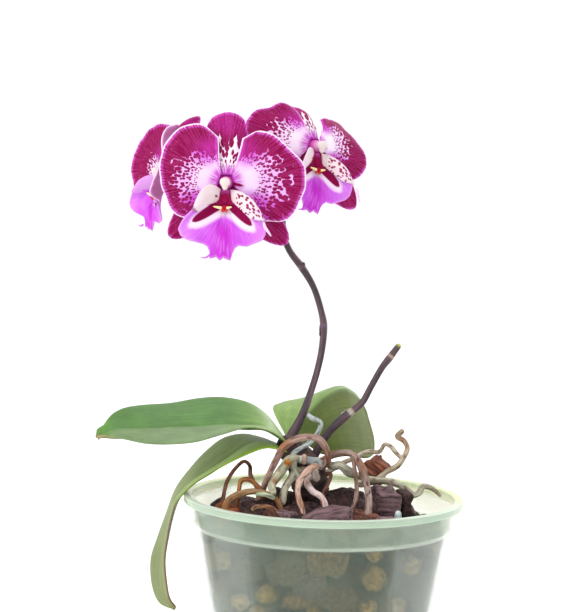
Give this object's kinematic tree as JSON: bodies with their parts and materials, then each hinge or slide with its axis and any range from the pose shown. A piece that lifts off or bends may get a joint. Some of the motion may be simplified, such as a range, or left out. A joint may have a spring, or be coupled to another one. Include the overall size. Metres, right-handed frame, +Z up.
{
  "type": "potted orchid",
  "caption": "Moth orchid in bloom in a clear pale-green nursery pot, with arching leaves, bare air roots and a coarse bark mix.",
  "frame": {"origin": "centre of the underside of the pot, on the surface it stands on", "axes": "+Z up, +Y towards the back, -Y the front that the big bloom faces, +X to the right"},
  "size_m": [0.1715, 0.13, 0.2972],
  "materials": {
    "pot": "translucent pale green moulded plastic",
    "bark": "dark broken pine bark",
    "bark_red": "fresh red-brown bark",
    "bark_grey": "weathered purple-grey bark",
    "clay": "fired clay pebbles",
    "leaf": "thick smooth leaf",
    "leaf_dull": "older dull leaf",
    "crown": "old leaf bases and cork",
    "spike": "dark purple-grey flower stem",
    "root_pale": "dry silvery root skin",
    "root_brown": "dry brown root",
    "root_pink": "pinkish root skin",
    "tepal": "waxy petal, crimson with white streaks",
    "tepal_dark": "waxy crimson sepal",
    "lip": "waxy lilac lip with crimson bars",
    "column": "waxy white column"
  },
  "bodies": {
    "root": {"pot": "pot", "bark_bed": "bark", "bark_chip_leaning": "bark_red", "bark_chip_right": "bark_grey", "bark_chip_front": "bark_grey", "bark_chip_round": "bark", "bark_chip_left": "bark_red", "clay_pebble_1": "clay", "clay_pebble_2": "clay", "clay_pebble_3": "clay", "clay_pebble_4": "clay", "clay_pebble_5": "clay", "clay_pebble_6": "clay", "clay_pebble_7": "clay", "stem": "crown", "spike": "spike", "cut_spike": "spike", "leaf_left": "leaf", "leaf_hanging": "leaf_dull", "leaf_right": "leaf", "root_arch": "root_pink", "root_drooping": "root_brown", "root_strand": "root_brown", "root_long": "root_pale", "root_curl": "root_pale", "root_hook": "root_pale", "root_thin_loop": "root_brown", "root_orange": "root_brown", "root_flat": "root_brown", "root_pale_front": "root_pale", "root_pale_side": "root_pale", "root_pink_hook": "root_pink", "root_pink_front": "root_pink", "root_silver": "root_pale", "root_bent_front": "root_brown", "root_short_brown": "root_brown", "bloom_front_dorsal_sepal": "tepal", "bloom_front_lateral_sepal_left": "tepal_dark", "bloom_front_lateral_sepal_right": "tepal_dark", "bloom_front_petal_left": "tepal", "bloom_front_petal_right": "tepal", "bloom_front_lip": "lip", "bloom_front_column": "column", "bloom_left_dorsal_sepal": "tepal", "bloom_left_lateral_sepal_left": "tepal_dark", "bloom_left_lateral_sepal_right": "tepal_dark", "bloom_left_petal_left": "tepal", "bloom_left_petal_right": "tepal", "bloom_left_lip": "lip", "bloom_left_column": "column", "bloom_right_dorsal_sepal": "tepal", "bloom_right_lateral_sepal_left": "tepal_dark", "bloom_right_lateral_sepal_right": "tepal_dark", "bloom_right_petal_left": "tepal", "bloom_right_petal_right": "tepal", "bloom_right_lip": "lip", "bloom_right_column": "column"}
  },
  "joints": []
}
